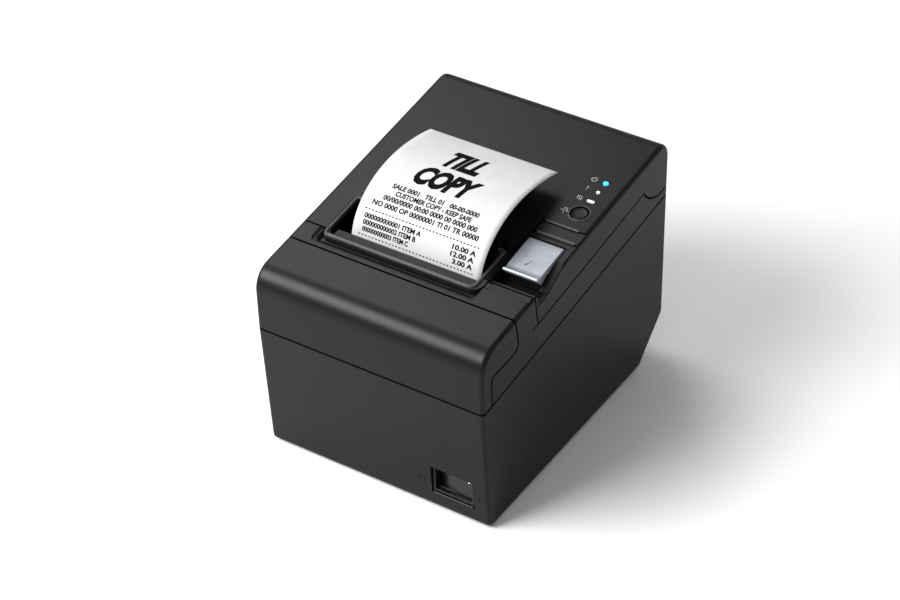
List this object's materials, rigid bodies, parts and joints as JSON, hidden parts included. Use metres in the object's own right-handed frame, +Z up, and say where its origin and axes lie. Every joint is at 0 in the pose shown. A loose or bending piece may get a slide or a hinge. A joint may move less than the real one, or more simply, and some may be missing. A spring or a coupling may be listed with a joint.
{
  "type": "receipt printer",
  "caption": "Desktop thermal receipt printer with hinged roll cover, sliding cutter cover, open lever, feed button, power rocker, driven platen, auto cutter and paper roll inside.",
  "frame": {"origin": "centre of the footprint on the floor plane under the feet", "axes": "+X to the right seen from the front, +Y to the rear, +Z up; the paper exit and switch face -Y"},
  "size_m": [0.14, 0.187, 0.146],
  "materials": {
    "charcoal": "fine textured moulding",
    "dark_trim": "fine textured moulding",
    "black_plastic": "smooth moulding",
    "silver": "satin silver",
    "lens_blue": "clear blue lens",
    "lens_white": "diffusing lens",
    "steel": "ground",
    "zinc": "zinc plated sheet",
    "heatsink": "extruded",
    "head_ceramic": "polished",
    "gear_white": "natural acetal",
    "rubber": "ground",
    "paper": "thermal coated",
    "board": "wound tube",
    "circuit": "solder mask"
  },
  "bodies": {
    "base": {"lower_case": "charcoal", "upper_case": "charcoal", "exit_rim": "dark_trim", "roll_holder": "black_plastic", "mechanism_frame": "zinc", "main_board": "circuit", "dc_inlet": "black_plastic", "usb_socket": "steel", "drawer_socket": "black_plastic", "serial_port": "steel", "feed_motor": "zinc", "cutter_base": "zinc", "cutter_motor": "zinc", "switch_housing": "black_plastic", "paper_sensor": "black_plastic", "paper_web": "paper", "hinge_pin_left": "steel", "hinge_pin_right": "steel", "head_spring_left": "steel", "head_spring_right": "steel", "foot_1": "rubber", "foot_2": "rubber", "foot_3": "rubber", "foot_4": "rubber", "case_screw_1": "zinc", "case_screw_2": "zinc", "case_screw_3": "zinc", "case_screw_4": "zinc"},
    "cover": {"roll_cover": "charcoal", "platen_holder": "dark_trim", "fixed_blade": "steel", "platen_bearing_left": "zinc", "platen_bearing_right": "zinc", "panel_board": "circuit", "power_light": "lens_blue", "error_light": "lens_white", "paper_light": "lens_white", "receipt": "paper"},
    "cutter_lid": {"cutter_cover": "charcoal"},
    "lever": {"open_lever": "silver"},
    "feed_key": {"feed_button": "charcoal"},
    "rocker": {"power_rocker": "black_plastic"},
    "platen": {"platen_shaft": "steel", "platen_rubber": "rubber", "platen_gear": "gear_white"},
    "idler": {"idler_gear": "gear_white"},
    "second_idler": {"second_idler_gear": "gear_white"},
    "feed_drive": {"feed_pinion": "steel"},
    "roll": {"paper_roll": "paper", "roll_core": "board"},
    "print_head": {"head_plate": "head_ceramic", "head_heatsink": "heatsink"},
    "blade": {"moving_blade": "steel", "blade_carriage": "gear_white"},
    "blade_gear": {"cutter_gear": "gear_white"},
    "blade_drive": {"cutter_pinion": "steel"}
  },
  "joints": [
    {"name": "cover_hinge", "type": "hinge", "parent": "base", "child": "cover", "pos_m": [0, 0.0845, 0.12899], "axis": [-1, 0, 0], "range_deg": [0, 82]},
    {"name": "cutter_cover_slide", "type": "slide", "parent": "base", "child": "cutter_lid", "axis": [0, -1, 0], "range_m": [0, 0.04]},
    {"name": "lever_lift", "type": "hinge", "parent": "cover", "child": "lever", "pos_m": [0.0539, -0.0072, 0.1238], "axis": [-1, 0, 0], "range_deg": [0, 20], "stiffness_Nm_per_rad": 0.02, "springref_deg": -11.46},
    {"name": "feed_press", "type": "slide", "parent": "cover", "child": "feed_key", "axis": [0, 0.124, -0.9923], "range_m": [0, 0.0012], "stiffness_N_per_m": 150, "springref_m": -0.002},
    {"name": "power_rock", "type": "hinge", "parent": "base", "child": "rocker", "pos_m": [0.0477, -0.0826, 0.02], "axis": [0, 0, 1], "range_deg": [0, 10]},
    {"name": "platen_spin", "type": "hinge", "parent": "cover", "child": "platen", "pos_m": [-0.0026, -0.0339, 0.0994], "axis": [1, 0, 0], "continuous": true},
    {"name": "idler_spin", "type": "hinge", "parent": "base", "child": "idler", "pos_m": [-0.056, -0.0296, 0.08218], "axis": [1, 0, 0], "continuous": true},
    {"name": "second_idler_spin", "type": "hinge", "parent": "base", "child": "second_idler", "pos_m": [-0.056, -0.04215, 0.06963], "axis": [1, 0, 0], "continuous": true},
    {"name": "feed_pinion_spin", "type": "hinge", "parent": "base", "child": "feed_drive", "pos_m": [-0.056, -0.05432, 0.0652], "axis": [1, 0, 0], "continuous": true},
    {"name": "roll_spin", "type": "hinge", "parent": "base", "child": "roll", "pos_m": [-0.0026, 0.025, 0.06], "axis": [1, 0, 0], "continuous": true},
    {"name": "head_rock", "type": "hinge", "parent": "base", "child": "print_head", "pos_m": [-0.0026, -0.04145, 0.08388], "axis": [1, 0, 0], "range_deg": [0, 2.5], "stiffness_Nm_per_rad": 3, "springref_deg": -2.86, "deforming": ["head_spring_left", "head_spring_right"]},
    {"name": "blade_slide", "type": "slide", "parent": "base", "child": "blade", "axis": [0, 1, 0], "range_m": [0, 0.009]},
    {"name": "cutter_gear_turn", "type": "hinge", "parent": "base", "child": "blade_gear", "pos_m": [0.01515, -0.066, 0.11], "axis": [0, 0, 1], "range_deg": [-65, 0]},
    {"name": "cutter_pinion_turn", "type": "hinge", "parent": "base", "child": "blade_drive", "pos_m": [0.02633, -0.06797, 0.11], "axis": [0, 0, 1], "range_deg": [0, 162]}
  ],
  "couplings": [
    {"joint": "idler_spin", "follows": "platen_spin", "ratio": -0.83333},
    {"joint": "second_idler_spin", "follows": "platen_spin", "ratio": 1},
    {"joint": "feed_pinion_spin", "follows": "platen_spin", "ratio": -1.6667},
    {"joint": "roll_spin", "follows": "platen_spin", "ratio": 0.175},
    {"joint": "cutter_gear_turn", "follows": "blade_slide", "rad_per_m": -125},
    {"joint": "cutter_pinion_turn", "follows": "blade_slide", "rad_per_m": 312.5}
  ]
}
